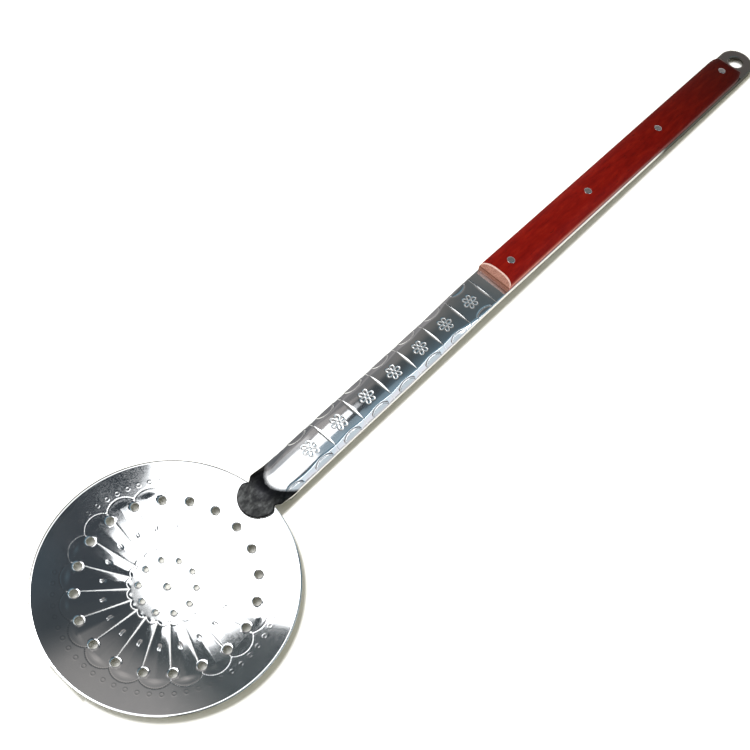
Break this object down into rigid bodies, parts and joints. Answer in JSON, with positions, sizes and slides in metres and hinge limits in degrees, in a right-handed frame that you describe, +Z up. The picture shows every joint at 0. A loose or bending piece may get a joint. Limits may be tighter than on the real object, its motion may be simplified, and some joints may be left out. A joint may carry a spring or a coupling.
{
  "type": "skimmer",
  "caption": "Long-handled kitchen skimmer: a shallow perforated steel dish on a flanged steel shank with a riveted wooden grip and a hanging eye.",
  "frame": {"origin": "middle of the length and width, on the table that the skimmer lies on", "axes": "+X from the dish to the hanging eye, +Z up out of the open side of the dish"},
  "size_m": [0.634, 0.14, 0.0184],
  "materials": {
    "dish_steel": "bright polished stainless sheet",
    "shank_steel": "bright polished stainless sheet, stamped",
    "lacquered_wood": "dark red stain under gloss lacquer",
    "rivet_steel": "dull grey steel"
  },
  "bodies": {
    "root": {"dish": "dish_steel", "shank": "shank_steel", "grip": "lacquered_wood", "rivet_1": "rivet_steel", "rivet_2": "rivet_steel", "rivet_3": "rivet_steel", "rivet_4": "rivet_steel"}
  },
  "joints": []
}
